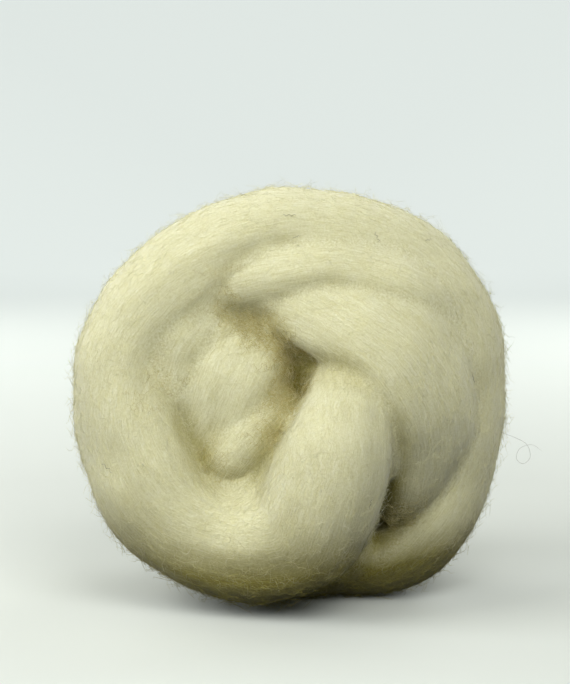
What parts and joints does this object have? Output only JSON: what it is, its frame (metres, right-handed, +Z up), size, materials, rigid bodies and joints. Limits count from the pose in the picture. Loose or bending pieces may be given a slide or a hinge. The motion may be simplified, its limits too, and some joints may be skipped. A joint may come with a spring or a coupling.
{
  "type": "wound ball of wool roving",
  "caption": "Loose ball of undyed wool roving, a thick soft rope of combed fleece wound round itself and tucked in, resting on a small flat spot.",
  "frame": {"origin": "centre of the underside's outline, at the height of the flat spot the ball rests on", "axes": "+X to the right and +Z up when seen from the front, where the roving folds into the middle; the front faces -Y"},
  "size_m": [0.1252, 0.1108, 0.1178],
  "materials": {
    "undyed_wool": "combed undyed wool, creamy white, matt with a soft bloom of loose fibres"
  },
  "bodies": {
    "root": {"wound_roving": "undyed_wool"}
  },
  "joints": []
}
